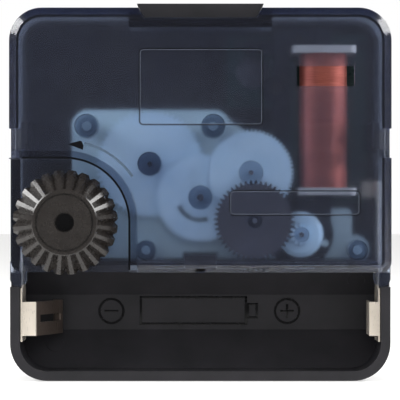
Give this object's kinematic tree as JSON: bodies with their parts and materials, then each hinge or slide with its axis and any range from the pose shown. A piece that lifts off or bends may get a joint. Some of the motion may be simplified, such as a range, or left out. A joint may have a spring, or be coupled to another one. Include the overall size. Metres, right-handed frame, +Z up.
{
  "type": "sweep clock movement",
  "caption": "Battery quartz movement for a wall clock: black housing with a cell bay, clear cover over meshed wheels, copper coil, setting knob, and coaxial hand shafts in a threaded neck.",
  "frame": {"origin": "on the hands' axis, in the plane of the housing's front face, against which the dial lies", "axes": "+Y out of the front along the hands' shafts, +Z up with the battery bay at the bottom, +X to the right seen from behind"},
  "size_m": [0.056, 0.0332, 0.0555],
  "materials": {
    "black_housing": "satin black",
    "smoky_cover": "clear, smoky blue",
    "white_plate": "satin white",
    "white_wheel": "milky white",
    "dark_wheel": "satin black",
    "knob_plastic": "satin brown-black",
    "brass": "turned",
    "nickel": "bright nickel plating",
    "arbor_steel": "polished",
    "motor_steel": "dull, pressed sheet",
    "magnet": "sintered",
    "copper_wire": "lacquered copper wire",
    "board": "solder mask"
  },
  "bodies": {
    "case": {"front_housing": "black_housing", "rear_cover": "smoky_cover", "gear_plate": "white_plate", "threaded_neck": "brass", "contact_negative": "nickel", "contact_positive": "nickel", "circuit_board": "board", "chip_cap": "dark_wheel", "crystal_can": "nickel", "solder_joints": "nickel", "coil_bobbin": "white_plate", "coil_winding": "copper_wire", "coil_core": "motor_steel", "coil_pins": "nickel", "stator_plate": "motor_steel"},
    "rotor": {"rotor_arbor": "arbor_steel", "rotor_magnet": "magnet", "rotor_disc": "white_wheel", "rotor_pinion": "white_wheel"},
    "step_gear": {"step_arbor": "arbor_steel", "step_wheel": "dark_wheel", "step_pinion": "dark_wheel"},
    "reducer": {"reducer_arbor": "arbor_steel", "reducer_wheel": "white_wheel", "reducer_pinion": "white_wheel"},
    "seconds": {"seconds_arbor": "arbor_steel", "seconds_wheel": "white_wheel", "seconds_pinion": "white_wheel"},
    "third": {"third_arbor": "arbor_steel", "third_wheel": "white_wheel", "third_pinion": "white_wheel"},
    "centre": {"centre_wheel": "white_wheel"},
    "minute": {"minute_tube": "brass", "cannon_pinion": "brass", "clutch_spring": "nickel"},
    "hour": {"hour_wheel": "white_wheel", "hour_tube": "white_wheel"},
    "intermediate": {"intermediate_wheel": "white_wheel", "intermediate_pinion": "white_wheel"},
    "setting": {"setting_wheel": "white_wheel", "setting_shaft": "white_wheel", "setting_knob": "knob_plastic"}
  },
  "joints": [
    {"name": "seconds_spin", "type": "hinge", "parent": "case", "child": "seconds", "pos_m": [0, 0, 0], "axis": [0, -1, 0], "continuous": true},
    {"name": "rotor_spin", "type": "hinge", "parent": "case", "child": "rotor", "pos_m": [0.01485, 0, -0.00545], "axis": [0, -1, 0], "continuous": true},
    {"name": "step_spin", "type": "hinge", "parent": "case", "child": "step_gear", "pos_m": [0.008, 0, -0.0034], "axis": [0, -1, 0], "continuous": true},
    {"name": "reducer_spin", "type": "hinge", "parent": "case", "child": "reducer", "pos_m": [0.00745, 0, 0.00365], "axis": [0, -1, 0], "continuous": true},
    {"name": "third_spin", "type": "hinge", "parent": "case", "child": "third", "pos_m": [-0.00745, 0, 0.00495], "axis": [0, -1, 0], "continuous": true},
    {"name": "centre_spin", "type": "hinge", "parent": "case", "child": "centre", "pos_m": [0, 0, 0], "axis": [0, -1, 0], "continuous": true},
    {"name": "setting_knob_spin", "type": "hinge", "parent": "case", "child": "setting", "pos_m": [-0.0198, 0, -0.00365], "axis": [0, -1, 0], "continuous": true},
    {"name": "intermediate_spin", "type": "hinge", "parent": "case", "child": "intermediate", "pos_m": [-0.00812, 0, -0.00295], "axis": [0, -1, 0], "continuous": true},
    {"name": "minute_spin", "type": "hinge", "parent": "case", "child": "minute", "pos_m": [0, 0, 0], "axis": [0, -1, 0], "continuous": true},
    {"name": "hour_spin", "type": "hinge", "parent": "case", "child": "hour", "pos_m": [0, 0, 0], "axis": [0, -1, 0], "continuous": true}
  ],
  "couplings": [
    {"joint": "rotor_spin", "follows": "seconds_spin", "ratio": -120},
    {"joint": "step_spin", "follows": "seconds_spin", "ratio": 30},
    {"joint": "reducer_spin", "follows": "seconds_spin", "ratio": -3.75},
    {"joint": "third_spin", "follows": "seconds_spin", "ratio": -0.13333},
    {"joint": "centre_spin", "follows": "seconds_spin", "ratio": 0.016667},
    {"joint": "intermediate_spin", "follows": "setting_knob_spin", "ratio": -0.80556},
    {"joint": "minute_spin", "follows": "setting_knob_spin", "ratio": 2.4167},
    {"joint": "hour_spin", "follows": "setting_knob_spin", "ratio": 0.20139}
  ]
}
